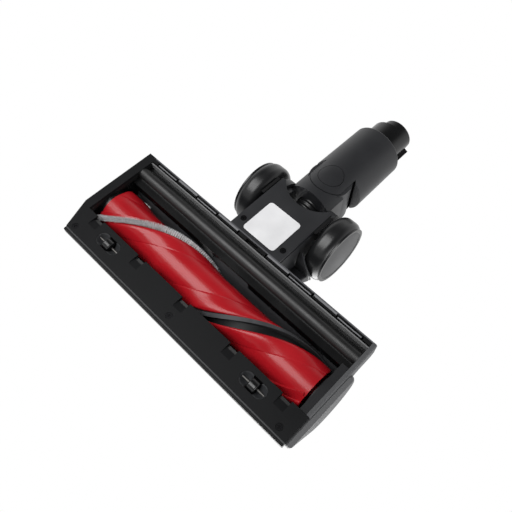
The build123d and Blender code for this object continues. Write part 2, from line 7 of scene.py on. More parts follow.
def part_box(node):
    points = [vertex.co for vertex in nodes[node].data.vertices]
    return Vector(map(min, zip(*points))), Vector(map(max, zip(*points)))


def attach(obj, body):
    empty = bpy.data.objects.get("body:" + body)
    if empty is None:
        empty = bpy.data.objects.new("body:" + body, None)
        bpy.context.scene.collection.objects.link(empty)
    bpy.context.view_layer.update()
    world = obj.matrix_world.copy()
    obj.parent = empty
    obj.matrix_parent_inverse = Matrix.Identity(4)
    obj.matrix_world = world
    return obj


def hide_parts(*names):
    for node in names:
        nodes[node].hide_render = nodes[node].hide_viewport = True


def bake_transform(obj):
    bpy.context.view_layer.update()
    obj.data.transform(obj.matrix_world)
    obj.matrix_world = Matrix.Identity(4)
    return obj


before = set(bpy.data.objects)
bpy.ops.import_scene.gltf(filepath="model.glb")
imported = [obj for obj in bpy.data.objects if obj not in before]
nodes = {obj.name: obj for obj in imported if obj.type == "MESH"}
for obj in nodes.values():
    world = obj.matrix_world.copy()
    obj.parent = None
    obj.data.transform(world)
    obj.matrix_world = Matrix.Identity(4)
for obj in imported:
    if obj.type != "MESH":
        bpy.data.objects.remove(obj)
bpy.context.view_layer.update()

# Sizes in metres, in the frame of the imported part: +X to the right, +Y to the rear and +Z up.
MM = 0.001
sole_low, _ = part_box("sole_plate")
_, seal_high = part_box("rear_seal")
bristle_low, bristle_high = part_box("bristle_strip")
hose_low, hose_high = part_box("hose")
FRONT = sole_low.y
REAR = seal_high.y
SOLE = sole_low.z

# Roller: radii about its axis, and LOW_X for the place along X where a strip is straight below it.
ROLLER_Y = (bristle_low.y + bristle_high.y) / 2
ROLLER_Z = (bristle_low.z + bristle_high.z) / 2
STRIP_PITCH = 213.0 * MM
LAND_TOP = 18.8 * MM
BRISTLE_ROOT = 16.6 * MM
BRISTLE_BED = 18.3 * MM
BRISTLE_TIP = 23.0 * MM
BRISTLE_WIDTH = 4.0 * MM
BRISTLE_LOW_X = 76.6 * MM
BARE_END = 27.0 * MM
BRISTLE_FROM = bristle_low.x + BARE_END
RUBBER_LOW_X = -45.2 * MM
RUBBER_SIDE = 21.6 * MM
RUBBER_TIP = 22.2 * MM
STRIP_FOOT_LOW_X = -53.0 * MM
STRIP_FOOT_ROOT = 17.0 * MM
STRIP_FOOT_TOP = 19.5 * MM
STRIP_FOOT_WIDTH = 5.4 * MM
RIDGE_ROOT = 16.9 * MM
HOOD_INSIDE = 24.5 * MM

# Hose, and the fin and the round bar behind the roller
HOSE_Z = (hose_low.z + hose_high.z) / 2
HOSE_RADIUS = (hose_high.x - hose_low.x) / 2
HOSE_PITCH = 4.2 * MM
HOSE_RIDGE = 1.2 * MM
HOSE_WALL = 1.6 * MM
# Places along Y of the painted highlight on the edge of the fin
FIN_FRONT = FRONT + 89.6 * MM
FIN_BACK = FRONT + 90.6 * MM
BAR_MIDDLE = SOLE + 6.2 * MM


# Camera, lamps and floor

def place_camera():
    """Camera below the part, where the photograph was taken from."""
    data = bpy.data.cameras.new("photo_camera")
    data.sensor_width = 36.0
    data.lens = 39.151
    data.clip_start = 0.01
    camera = bpy.data.objects.new("photo_camera", data)
    right = Vector((-0.71200, 0.70218, 0.00028))
    down = Vector((-0.61025, -0.61898, 0.49442))
    look = Vector((0.34735, 0.35185, 0.86922))
    place = (-0.16097, FRONT - 0.06575, SOLE - 0.37720)
    turn = Matrix((right, -down, -look)).transposed()
    camera.matrix_world = Matrix.Translation(place) @ turn.to_4x4()
    bpy.context.scene.collection.objects.link(camera)
    bpy.context.scene.camera = camera


def add_softbox(name, place, aim, size, power):
    """Round lamp at one place, turned towards another."""
    data = bpy.data.lights.new(name, "AREA")
    data.shape = "DISK"
    data.size = size
    data.energy = power
    lamp = bpy.data.objects.new(name, data)
    lamp.location = place
    lamp.rotation_euler = (Vector(aim) - Vector(place)).to_track_quat("-Z", "Y").to_euler()
    bpy.context.scene.collection.objects.link(lamp)


def add_floor():
    """Pale floor that shows from above only, so that the camera below can see the part.

    Around the part it takes shadow, and further out it is evenly pale.
    """
    mesh = bpy.data.meshes.new("floor")
    half = 4.0
    low = -0.0002
    corners = [(-half, -half, low), (half, -half, low), (half, half, low), (-half, half, low)]
    mesh.from_pydata(corners, [], [(0, 1, 2, 3)])
    floor = bpy.data.objects.new("floor", mesh)
    bpy.context.scene.collection.objects.link(floor)
    floor.visible_shadow = False
    floor.visible_diffuse = False
    floor.visible_glossy = False
    floor.visible_transmission = False
    material = bpy.data.materials.new("pale_floor")
    material.use_nodes = True
    tree = material.node_tree
    tree.nodes.clear()
    pale = (0.92, 0.92, 0.92, 1)
    paint = tree.nodes.new("ShaderNodeBsdfDiffuse")
    paint.inputs["Color"].default_value = pale
    far = tree.nodes.new("ShaderNodeEmission")
    far.inputs["Color"].default_value = pale
    reach = tree.nodes.new("ShaderNodeVectorMath")
    reach.operation = "LENGTH"
    tree.links.new(object_place(tree), reach.inputs[0])
    fade = tree.nodes.new("ShaderNodeMapRange")
    fade.interpolation_type = "SMOOTHSTEP"
    fade.inputs["From Min"].default_value = 0.25
    fade.inputs["From Max"].default_value = 0.80
    tree.links.new(reach.outputs["Value"], fade.inputs["Value"])
    even = tree.nodes.new("ShaderNodeMixShader")
    tree.links.new(fade.outputs["Result"], even.inputs[0])
    tree.links.new(paint.outputs[0], even.inputs[1])
    tree.links.new(far.outputs[0], even.inputs[2])
    clear = tree.nodes.new("ShaderNodeBsdfTransparent")
    side = tree.nodes.new("ShaderNodeNewGeometry")
    choose = tree.nodes.new("ShaderNodeMixShader")
    out = tree.nodes.new("ShaderNodeOutputMaterial")
    tree.links.new(side.outputs["Backfacing"], choose.inputs[0])
    tree.links.new(even.outputs[0], choose.inputs[1])
    tree.links.new(clear.outputs[0], choose.inputs[2])
    tree.links.new(choose.outputs[0], out.inputs["Surface"])
    mesh.materials.append(material)


def background(tree, strength):
    node = tree.nodes.new("ShaderNodeBackground")
    node.inputs["Color"].default_value = (1, 1, 1, 1)
    node.inputs["Strength"].default_value = strength
    return node


def set_world():
    """White past the part, soft even light on it, and a dim studio floor in its reflections."""
    world = bpy.data.worlds.new("studio")
    bpy.context.scene.world = world
    world.use_nodes = True
    tree = world.node_tree
    tree.nodes.clear()
    white = background(tree, 1.0)
    soft = background(tree, 0.45)
    mirrored = background(tree, 1.0)
    place = tree.nodes.new("ShaderNodeTexCoord")
    split = tree.nodes.new("ShaderNodeSeparateXYZ")
    tree.links.new(place.outputs["Generated"], split.inputs[0])
    rise = tree.nodes.new("ShaderNodeMapRange")
    rise.inputs["From Min"].default_value = -0.70
    rise.inputs["From Max"].default_value = -0.25
    rise.inputs["To Min"].default_value = 0.10
    rise.inputs["To Max"].default_value = 1.0
    tree.links.new(split.outputs["Z"], rise.inputs["Value"])
    tree.links.new(rise.outputs["Result"], mirrored.inputs["Strength"])
    path = tree.nodes.new("ShaderNodeLightPath")
    glossy = tree.nodes.new("ShaderNodeMixShader")
    tree.links.new(path.outputs["Is Glossy Ray"], glossy.inputs[0])
    tree.links.new(soft.outputs[0], glossy.inputs[1])
    tree.links.new(mirrored.outputs[0], glossy.inputs[2])
    past = math_node(tree, "MAXIMUM", path.outputs["Is Camera Ray"],
                     path.outputs["Is Transmission Ray"])
    seen = tree.nodes.new("ShaderNodeMixShader")
    tree.links.new(past, seen.inputs[0])
    tree.links.new(glossy.outputs[0], seen.inputs[1])
    tree.links.new(white.outputs[0], seen.inputs[2])
    out = tree.nodes.new("ShaderNodeOutputWorld")
    tree.links.new(seen.outputs[0], out.inputs["Surface"])


# Finishes

def start_finish(name):
    material = bpy.data.materials.new(name)
    material.use_nodes = True
    tree = material.node_tree
    return material, tree, tree.nodes["Principled BSDF"]


def object_place(tree):
    return tree.nodes.new("ShaderNodeTexCoord").outputs["Object"]


def noise(tree, place, scale, detail=2.0):
    node = tree.nodes.new("ShaderNodeTexNoise")
    node.inputs["Scale"].default_value = scale
    node.inputs["Detail"].default_value = detail
    tree.links.new(place, node.inputs["Vector"])
    return node.outputs["Fac"]


def math_node(tree, operation, a, b=None):
    node = tree.nodes.new("ShaderNodeMath")
    node.operation = operation
    for value, socket in zip((a, b), node.inputs):
        if value is None:
            continue
        if isinstance(value, (int, float)):
            socket.default_value = value
        else:
            tree.links.new(value, socket)
    return node.outputs[0]


def spread(tree, value, low, high):
    """Map a 0 to 1 pattern to a range."""
    node = tree.nodes.new("ShaderNodeMapRange")
    node.inputs["From Min"].default_value = 0.3
    node.inputs["From Max"].default_value = 0.7
    node.inputs["To Min"].default_value = low
    node.inputs["To Max"].default_value = high
    tree.links.new(value, node.inputs["Value"])
    return node.outputs["Result"]


def two_tone(tree, factor, dark, light):
    node = tree.nodes.new("ShaderNodeMix")
    node.data_type = "RGBA"
    node.inputs["A"].default_value = (*dark, 1)
    node.inputs["B"].default_value = (*light, 1)
    tree.links.new(factor, node.inputs["Factor"])
    return node.outputs["Result"]


def bump(tree, height, strength, depth):
    node = tree.nodes.new("ShaderNodeBump")
    node.inputs["Strength"].default_value = strength
    node.inputs["Distance"].default_value = depth
    tree.links.new(height, node.inputs["Height"])
    return node.outputs["Normal"]


def edge_band(tree, place, low, high):
    """One between two places along Y and zero elsewhere."""
    split = tree.nodes.new("ShaderNodeSeparateXYZ")
    tree.links.new(place, split.inputs[0])
    past = math_node(tree, "GREATER_THAN", split.outputs["Y"], low)
    before = math_node(tree, "LESS_THAN", split.outputs["Y"], high)
    return math_node(tree, "MULTIPLY", past, before)


def moulded_finish(name, colour, roughness, grain=1400.0, depth=0.00004, specular=0.3,
                   edge=None, worn_below=None):
    """Moulded plastic or rubber: fine surface grain, slight cloudiness in colour and gloss.

    An edge gives two places along Y between which a painted highlight of another colour lies over the
    colour.
    What stands lower than worn_below has lost some of its gloss.
    """
    material, tree, shader = start_finish(name)
    place = object_place(tree)
    cloud = noise(tree, place, 45.0, 3.0)
    fine = noise(tree, place, grain, 2.0)
    dark = [c * 0.82 for c in colour]
    light = [c * 1.18 for c in colour]
    shade = two_tone(tree, cloud, dark, light)
    # Painted highlight: a pale band along Y that stands in for light catching an edge.
    if edge is not None:
        low, high, painted_highlight = edge
        mix = tree.nodes.new("ShaderNodeMix")
        mix.data_type = "RGBA"
        mix.inputs["B"].default_value = (*painted_highlight, 1)
        tree.links.new(edge_band(tree, place, low, high), mix.inputs["Factor"])
        tree.links.new(shade, mix.inputs["A"])
        shade = mix.outputs["Result"]
    tree.links.new(shade, shader.inputs["Base Color"])
    gloss = spread(tree, cloud, roughness - 0.05, roughness + 0.05)
    if worn_below is not None:
        split = tree.nodes.new("ShaderNodeSeparateXYZ")
        tree.links.new(place, split.inputs[0])
        low = math_node(tree, "LESS_THAN", split.outputs["Z"], worn_below)
        lost_gloss = 0.20
        gloss = math_node(tree, "ADD", gloss, math_node(tree, "MULTIPLY", low, lost_gloss))
    tree.links.new(gloss, shader.inputs["Roughness"])
    tree.links.new(bump(tree, fine, 0.35, depth), shader.inputs["Normal"])
    shader.inputs["Specular IOR Level"].default_value = specular
    return material


def metal_finish(name, colour, roughness):
    """Drawn metal: fine lines along X and slight tarnish."""
    material, tree, shader = start_finish(name)
    place = object_place(tree)
    stretch = tree.nodes.new("ShaderNodeMapping")
    stretch.inputs["Scale"].default_value = (60.0, 2500.0, 2500.0)
    tree.links.new(place, stretch.inputs["Vector"])
    lines = noise(tree, stretch.outputs["Vector"], 1.0, 3.0)
    cloud = noise(tree, place, 120.0, 2.0)
    tarnish = [c * 0.85 for c in colour]
    tree.links.new(two_tone(tree, cloud, tarnish, colour), shader.inputs["Base Color"])
    gloss = spread(tree, lines, roughness - 0.06, roughness + 0.08)
    tree.links.new(gloss, shader.inputs["Roughness"])
    tree.links.new(bump(tree, lines, 0.2, 0.00003), shader.inputs["Normal"])
    shader.inputs["Metallic"].default_value = 1.0
    return material


def strip_finish():
    """Black rubber strip, painted paler on its outer face than on its sides as a highlight."""
    material, tree, shader = start_finish("strip_rubber")
    place = object_place(tree)
    centred = tree.nodes.new("ShaderNodeMapping")
    centred.inputs["Location"].default_value = (0.0, -ROLLER_Y, -ROLLER_Z)
    centred.inputs["Scale"].default_value = (0.0, 1.0, 1.0)
    tree.links.new(place, centred.inputs["Vector"])
    reach = tree.nodes.new("ShaderNodeVectorMath")
    reach.operation = "LENGTH"
    tree.links.new(centred.outputs["Vector"], reach.inputs[0])
    edge = tree.nodes.new("ShaderNodeMapRange")
    edge.inputs["From Min"].default_value = RUBBER_SIDE
    edge.inputs["From Max"].default_value = RUBBER_TIP
    tree.links.new(reach.outputs["Value"], edge.inputs["Value"])
    cloud = noise(tree, place, 160.0, 3.0)
    # Painted highlight on the outer face, patchy from the noise.
    painted_highlight = math_node(tree, "MULTIPLY", edge.outputs["Result"], spread(tree, cloud, 0.6, 1.0))
    colour = two_tone(tree, painted_highlight, (0.006, 0.006, 0.0065), (0.055, 0.056, 0.060))
    tree.links.new(colour, shader.inputs["Base Color"])
    tree.links.new(spread(tree, cloud, 0.48, 0.62), shader.inputs["Roughness"])
    grain = noise(tree, place, 900.0, 2.0)
    tree.links.new(bump(tree, grain, 0.3, 0.00004), shader.inputs["Normal"])
    shader.inputs["Specular IOR Level"].default_value = 0.25
    return material


def bristle_finish():
    """Nylon hairs, each of its own shade from pale grey to white."""
    material, tree, shader = start_finish("grey_bristle")
    tone = tree.nodes.new("ShaderNodeAttribute")
    tone.attribute_name = "tone"
    colour = two_tone(tree, tone.outputs["Fac"], (0.48, 0.48, 0.49), (0.97, 0.97, 0.98))
    tree.links.new(colour, shader.inputs["Base Color"])
    place = object_place(tree)
    tree.links.new(spread(tree, noise(tree, place, 300.0), 0.45, 0.60), shader.inputs["Roughness"])
    tree.links.new(bump(tree, noise(tree, place, 900.0), 0.2, 0.00003), shader.inputs["Normal"])
    shader.inputs["Specular IOR Level"].default_value = 0.3
    return material


def make_finishes():
    return {
        "shell": moulded_finish("shell_plastic", (0.040, 0.041, 0.044), 0.52, grain=1100.0, depth=0.00006),
        "neck": moulded_finish("neck_plastic", (0.016, 0.0165, 0.0185), 0.42, specular=0.4),
        "sole": moulded_finish("sole_plastic", (0.0065, 0.0068, 0.0074), 0.48, specular=0.12),
        # Lip: painted highlight, a pale band along the front edge.
        "lip": moulded_finish("lip_plastic", (0.0045, 0.0046, 0.0050), 0.45, specular=0.15,
                              edge=(FRONT - 1.0 * MM, FRONT + MM, (0.060, 0.061, 0.063))),
        "black": moulded_finish("black_plastic", (0.0030, 0.0031, 0.0034), 0.24, grain=900.0,
                                depth=0.00002, specular=0.45),
        # Chassis: painted highlight, a pale band along the edge of the fin behind the bar.
        "dark": moulded_finish("chassis_plastic", (0.0022, 0.0023, 0.0025), 0.25, depth=0.000008,
                               specular=0.55, edge=(FIN_FRONT, FIN_BACK, (0.150, 0.151, 0.153)),
                               worn_below=BAR_MIDDLE),
        "rubber": moulded_finish("black_rubber", (0.0080, 0.0082, 0.0088), 0.30, grain=700.0,
                                 depth=0.00002, specular=0.4),
        # Seal: painted sheen, a pale band along the rear edge.
        "seal": moulded_finish("seal_rubber", (0.0040, 0.0041, 0.0044), 0.60, grain=700.0, specular=0.15,
                               edge=(REAR - 1.1 * MM, REAR + MM, (0.080, 0.081, 0.088))),
        # Seal ribs: their pale colour is a painted highlight on the lips of the seal.
        "rib": moulded_finish("seal_rib_painted_highlight", (0.17, 0.171, 0.178), 0.55, grain=700.0, specular=0.2),
        "strip": strip_finish(),
        "foot": moulded_finish("strip_foot_rubber", (0.0045, 0.0046, 0.0050), 0.50, grain=900.0,
                               specular=0.2),
        "red": moulded_finish("red_plastic", (0.35, 0.007, 0.012), 0.24, grain=260.0, depth=0.00002,
                              specular=0.30),
        "bristle": bristle_finish(),
        # Bristle bed of nylon: its darker grey is painted shade between the hairs.
        "bed": moulded_finish("bristle_bed_painted_shade", (0.09, 0.09, 0.093), 0.60, grain=500.0),
        "carrier": moulded_finish("carrier_plastic", (0.0110, 0.0113, 0.0125), 0.42, specular=0.25),
        "satin": moulded_finish("grey_satin_plastic", (0.044, 0.0445, 0.046), 0.36, specular=0.14),
        "paper": moulded_finish("bare_label_paper", (0.66, 0.66, 0.67), 0.55, grain=2500.0, depth=0.00001),
        "felt": moulded_finish("white_felt", (0.85, 0.85, 0.84), 0.85, grain=1600.0, depth=0.00008),
        "screw": metal_finish("black_screw", (0.014, 0.014, 0.015), 0.45),
        "dish": moulded_finish("dish_plastic", (0.026, 0.027, 0.029), 0.45, specular=0.2),
        "end": moulded_finish("end_cap_plastic", (0.064, 0.065, 0.068), 0.55, grain=420.0, depth=0.00040),
        "wire": metal_finish("caster_wire", (0.15, 0.145, 0.14), 0.50),
        "steel": metal_finish("steel", (0.66, 0.66, 0.67), 0.20),
        "brass": metal_finish("contact_brass", (0.78, 0.58, 0.26), 0.25),
    }


def dress_cad_nodes(finishes):
    """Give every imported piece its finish."""
    groups = {
        "shell": ["hood", "drive_cover"],
        "end": ["end_cap"],
        "neck": ["neck_housing", "neck_cover", "neck_tube", "yoke", "swivel_pin_lower",
                 "swivel_pin_upper"],
        "sole": ["sole_plate"],
        "lip": ["bumper_lip"],
        "black": ["left_caster", "right_caster", "drive_coupling", "motor_sleeve", "drive_hub",
                  "spigot"],
        "dark": ["chassis"],
        "rubber": ["left_tyre", "right_tyre", "left_hub", "right_hub", "hose"],
        "seal": ["rear_seal"],
        "strip": ["rubber_strip"],
        "red": ["roller_core"],
        "bristle": ["bristle_strip"],
        "carrier": ["bearing_carrier"],
        "screw": ["sole_screws", "cover_screws"],
        "wire": ["left_caster_axle", "right_caster_axle"],
        "steel": ["brush_motor", "motor_shaft", "end_bearing", "left_axle", "right_axle"],
        "brass": ["contact_pins"],
    }
    for finish, names in groups.items():
        for name in names:
            mesh = nodes[name].data
            mesh.materials.clear()
            mesh.materials.append(finishes[finish])


# Node trees for what repeats

def open_tree(name, sizes):
    """New geometry tree with one output and a named number input for each size."""
    tree = bpy.data.node_groups.new(name, "GeometryNodeTree")
    tree.interface.new_socket("Geometry", in_out="OUTPUT", socket_type="NodeSocketGeometry")
    ids = {}
    for label, value in sizes.items():
        kind = "NodeSocketInt" if isinstance(value, int) else "NodeSocketFloat"
        ids[label] = tree.interface.new_socket(label, in_out="INPUT", socket_type=kind).identifier
    finish = tree.interface.new_socket("Finish", in_out="INPUT", socket_type="NodeSocketMaterial")
    ids["Finish"] = finish.identifier
    given = tree.nodes.new("NodeGroupInput").outputs
    return tree, ids, given


def close_tree(tree, geometry, finish):
    """Make instances real, paint them and give them out."""
    real = tree.nodes.new("GeometryNodeRealizeInstances")
    paint = tree.nodes.new("GeometryNodeSetMaterial")
    out = tree.nodes.new("NodeGroupOutput")
    tree.links.new(geometry, real.inputs["Geometry"])
    tree.links.new(real.outputs["Geometry"], paint.inputs["Geometry"])
    tree.links.new(finish, paint.inputs["Material"])
    tree.links.new(paint.outputs["Geometry"], out.inputs["Geometry"])


def grow(name, tree, ids, sizes, finish):
    """Run a tree once with these sizes and keep the result as a plain mesh."""
    seed_mesh = bpy.data.meshes.new(name + "_seed")
    grower = bpy.data.objects.new(name + "_grower", seed_mesh)
    bpy.context.scene.collection.objects.link(grower)
    modifier = grower.modifiers.new("grow", "NODES")
    modifier.node_group = tree
    for label, value in sizes.items():
        modifier[ids[label]] = value
    modifier[ids["Finish"]] = finish
    return settle(name, grower)


def settle(name, maker):
    """Turn an object with modifiers into a plain mesh object and drop the maker."""
    graph = bpy.context.evaluated_depsgraph_get()
    mesh = bpy.data.meshes.new_from_object(maker.evaluated_get(graph))
    mesh.name = name
    bpy.data.objects.remove(maker, do_unlink=True)
    piece = bpy.data.objects.new(name, mesh)
    bpy.context.scene.collection.objects.link(piece)
    return piece


def vector(tree, x, y, z):
    node = tree.nodes.new("ShaderNodeCombineXYZ")
    for value, socket in zip((x, y, z), node.inputs):
        if isinstance(value, (int, float)):
            socket.default_value = value
        else:
            tree.links.new(value, socket)
    return node.outputs[0]


def vector_math(tree, operation, a, b):
    node = tree.nodes.new("ShaderNodeVectorMath")
    node.operation = operation
    tree.links.new(a, node.inputs[0])
    if operation == "SCALE":
        tree.links.new(b, node.inputs["Scale"])
    else:
        tree.links.new(b, node.inputs[1])
    return node.outputs[0]


def chance(tree, low, high, seed):
    """Random number for each point, from a fixed seed."""
    node = tree.nodes.new("FunctionNodeRandomValue")
    for socket, value in (("Min", low), ("Max", high)):
        if isinstance(value, (int, float)):
            node.inputs[socket].default_value = value
        else:
            tree.links.new(value, node.inputs[socket])
    node.inputs["Seed"].default_value = seed
    return node.outputs["Value"]


# Bristles, strip and ridges of the roller

def bristle_tree(sizes):
    """Bristles in tufts along a helix about the roller axis, each standing out from the roller."""
    tree, ids, given = open_tree("bristle_rows", sizes)
    index = tree.nodes.new("GeometryNodeInputIndex").outputs[0]
    row = math_node(tree, "MODULO", index, given["Rows"])
    step = math_node(tree, "FLOOR", math_node(tree, "DIVIDE", index, given["Rows"]))
    tuft = math_node(tree, "FLOOR", math_node(tree, "DIVIDE", step, given["Hairs per Tuft"]))
    tufts = math_node(tree, "DIVIDE", given["Steps"], given["Hairs per Tuft"])
    # Hairs keep to one part of their tuft's place, which leaves gaps between tufts.
    in_tuft = math_node(tree, "ADD", tuft, chance(tree, 0.10, 0.52, 3))
    along = math_node(tree, "DIVIDE", in_tuft, tufts)
    in_row = math_node(tree, "ADD", row, chance(tree, 0.1, 0.9, 5))
    across = math_node(tree, "DIVIDE", in_row, given["Rows"])
    offset = math_node(tree, "MULTIPLY", math_node(tree, "SUBTRACT", across, 0.5), given["Width"])
    run = math_node(tree, "SUBTRACT", given["End"], given["Start"])
    path_x = math_node(tree, "ADD", given["Start"], math_node(tree, "MULTIPLY", along, run))
    past_low = math_node(tree, "SUBTRACT", given["Low Point"], path_x)
    turn = math_node(tree, "MULTIPLY", math_node(tree, "DIVIDE", past_low, given["Pitch"]), 2 * pi)
    middle = math_node(tree, "MULTIPLY", math_node(tree, "ADD", given["Root"], given["Tip"]), 0.5)
    around = math_node(tree, "MULTIPLY", middle, 2 * pi)
    slant = math_node(tree, "ARCTANGENT", math_node(tree, "DIVIDE", around, given["Pitch"]))
    shift = math_node(tree, "MULTIPLY", offset, math_node(tree, "SINE", slant))
    sideways = math_node(tree, "MULTIPLY", offset, math_node(tree, "COSINE", slant))
    angle = math_node(tree, "ADD", turn, math_node(tree, "DIVIDE", sideways, middle))
    x = math_node(tree, "MAXIMUM", math_node(tree, "ADD", path_x, shift), given["Start"])
    x = math_node(tree, "MINIMUM", x, given["End"])
    outward = vector(tree, 0.0, math_node(tree, "SINE", angle),
                     math_node(tree, "MULTIPLY", math_node(tree, "COSINE", angle), -1.0))
    foot = vector_math(tree, "SCALE", outward, given["Root"])
    foot = vector_math(tree, "ADD", foot, vector(tree, x, given["Axis Y"], given["Axis Z"]))
    points = tree.nodes.new("GeometryNodePoints")
    tree.links.new(math_node(tree, "MULTIPLY", given["Steps"], given["Rows"]), points.inputs["Count"])
    tree.links.new(foot, points.inputs["Position"])
    low_lean = math_node(tree, "MULTIPLY", given["Lean"], -1.0)
    lean = vector(tree, *(chance(tree, low_lean, given["Lean"], seed) for seed in (11, 12, 13)))
    aim = tree.nodes.new("FunctionNodeAlignRotationToVector")
    aim.axis = "Z"
    tree.links.new(vector_math(tree, "ADD", outward, lean), aim.inputs["Vector"])
    hair = tree.nodes.new("GeometryNodeMeshCone")
    hair.inputs["Vertices"].default_value = 4
    tree.links.new(math_node(tree, "MULTIPLY", given["Thickness"], 0.5), hair.inputs["Radius Top"])
    tree.links.new(given["Thickness"], hair.inputs["Radius Bottom"])
    tree.links.new(math_node(tree, "SUBTRACT", given["Tip"], given["Root"]), hair.inputs["Depth"])
    place = tree.nodes.new("GeometryNodeInstanceOnPoints")
    tree.links.new(points.outputs[0], place.inputs["Points"])
    tree.links.new(hair.outputs["Mesh"], place.inputs["Instance"])
    tree.links.new(aim.outputs["Rotation"], place.inputs["Rotation"])
    tree.links.new(vector(tree, 1.0, 1.0, chance(tree, 0.90, 0.99, 17)), place.inputs["Scale"])
    shade = tree.nodes.new("GeometryNodeStoreNamedAttribute")
    shade.data_type = "FLOAT"
    shade.domain = "INSTANCE"
    shade.inputs["Name"].default_value = "tone"
    tree.links.new(place.outputs["Instances"], shade.inputs["Geometry"])
    tree.links.new(chance(tree, 0.0, 1.0, 19), shade.inputs["Value"])
    close_tree(tree, shade.outputs["Geometry"], given["Finish"])
    return tree, ids


def add_bristles(finishes):
    """Tufts and the bed they stand in, and a red plug in the slot where there are none."""
    sizes = {
        "Steps": 896, "Rows": 9, "Hairs per Tuft": 7, "Start": BRISTLE_FROM, "End": bristle_high.x,
        "Pitch": STRIP_PITCH, "Low Point": BRISTLE_LOW_X, "Root": BRISTLE_ROOT, "Tip": BRISTLE_TIP,
        "Width": BRISTLE_WIDTH, "Thickness": 0.15 * MM, "Lean": 0.10, "Axis Y": ROLLER_Y,
        "Axis Z": ROLLER_Z,
    }
    tree, ids = bristle_tree(sizes)
    bristles = grow("bristles", tree, ids, sizes, finishes["bristle"])
    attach(bristles, "roller")
    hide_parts("bristle_strip")
    # The bed's darker grey is painted shade between the hairs.
    bed = helix_bar("bristle_bed", BRISTLE_ROOT, BRISTLE_BED, BRISTLE_WIDTH, BRISTLE_LOW_X,
                    BRISTLE_FROM, bristle_high.x, finishes["bed"])
    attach(bed, "roller")
    plug = helix_bar("slot_plug", BRISTLE_ROOT, LAND_TOP, BRISTLE_WIDTH, BRISTLE_LOW_X,
                     bristle_low.x, BRISTLE_FROM, finishes["red"])
    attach(plug, "roller")


def add_strip_foot(finishes):
    """Broad black foot that lies on the core beside the standing lip of the rubber strip."""
    foot = helix_bar("strip_foot", STRIP_FOOT_ROOT, STRIP_FOOT_TOP, STRIP_FOOT_WIDTH, STRIP_FOOT_LOW_X,
                     bristle_low.x, bristle_high.x, finishes["foot"])
    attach(foot, "roller")


def add_strip_ridges(finishes):
    """Ramped red ridges beside the strips: highest near the strip, run out on the core.

    A slope gives distances from the middle of the strip with their radius, in millimetres.
    """
    run_out = ((14.0, 17.75), (17.5, 17.35))
    ridges = {
        "rubber_ridge_rear": (
            RUBBER_LOW_X, 1, ((1.8, 20.3), (3.0, 20.7), (5.0, 20.4), (8.0, 19.5), (11.0, 18.5))),
        "rubber_ridge_front": (
            STRIP_FOOT_LOW_X, -1, ((2.8, 19.7), (4.0, 20.1), (6.0, 19.8), (8.5, 19.1), (11.0, 18.4))),
        "bristle_ridge_front": (
            BRISTLE_LOW_X, -1, ((2.2, 19.4), (3.4, 19.9), (5.4, 19.7), (8.0, 19.0), (11.0, 18.3))),
    }
    for name, (low_x, side, slope) in ridges.items():
        section = [(side * offset * MM, radius * MM) for offset, radius in slope + run_out]
        section += [(section[-1][0], RIDGE_ROOT), (section[0][0], RIDGE_ROOT)]
        ridge = helix_sweep(name, section, LAND_TOP, low_x, bristle_low.x, bristle_high.x,
                            finishes["red"], smooth=True)
        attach(ridge, "roller")


# Closed meshes

def helix_bar(name, inner, outer, width, low_x, x0, x1, finish):
    """Closed bar of rectangular section wound about the roller axis."""
    half = width / 2
    section = [(-half, inner), (half, inner), (half, outer), (-half, outer)]
    return helix_sweep(name, section, (inner + outer) / 2, low_x, x0, x1, finish)


def helix_sweep(name, section, middle, low_x, x0, x1, finish, smooth=False):
    """Closed section wound about the roller axis.

    Its points are distances across the helix with their radius. Middle is the radius at which
    distances across are true.
    """
    steps = 240
    slant = atan(2 * pi * middle / STRIP_PITCH)
    points = []
    for i in range(steps + 1):
        x = x0 + (x1 - x0) * i / steps
        for offset, radius in section:
            path_x = x - offset * sin(slant)
            angle = (low_x - path_x) / STRIP_PITCH * 2 * pi + offset * cos(slant) / middle
            points.append(about_roller(x, radius, angle))
    return solid(name, points, tube_faces(len(section), steps), finish, smooth)


def about_roller(x, radius, angle):
    """Point at an angle about the roller axis, from straight down towards the rear."""
    return x, ROLLER_Y + radius * sin(angle), ROLLER_Z - radius * cos(angle)


def tube_faces(count, steps):
    """Faces of a closed tube through steps + 1 rings of count points each."""
    faces = [tuple(range(count - 1, -1, -1)), tuple(count * steps + k for k in range(count))]
    for i in range(steps):
        for k in range(count):
            a, b = count * i + k, count * i + (k + 1) % count
            faces.append((a, b, b + count, a + count))
    return faces


def prism(name, outline, top, bottom, finish):
    """Closed upright prism on a flat outline."""
    points = [(x, y, z) for z in (top, bottom) for x, y in outline]
    return solid(name, points, tube_faces(len(outline), 1), finish)


def solid(name, points, faces, finish, smooth=False):
    """Closed mesh piece with its faces turned outward."""
    mesh = bpy.data.meshes.new(name)
    mesh.from_pydata(points, [], faces)
    shape = bmesh.new()
    shape.from_mesh(mesh)
    bmesh.ops.recalc_face_normals(shape, faces=shape.faces)
    shape.to_mesh(mesh)
    shape.free()
    mesh.materials.append(finish)
    if smooth:
        mesh.shade_smooth()
    piece = bpy.data.objects.new(name, mesh)
    bpy.context.scene.collection.objects.link(piece)
    return piece


# Hose

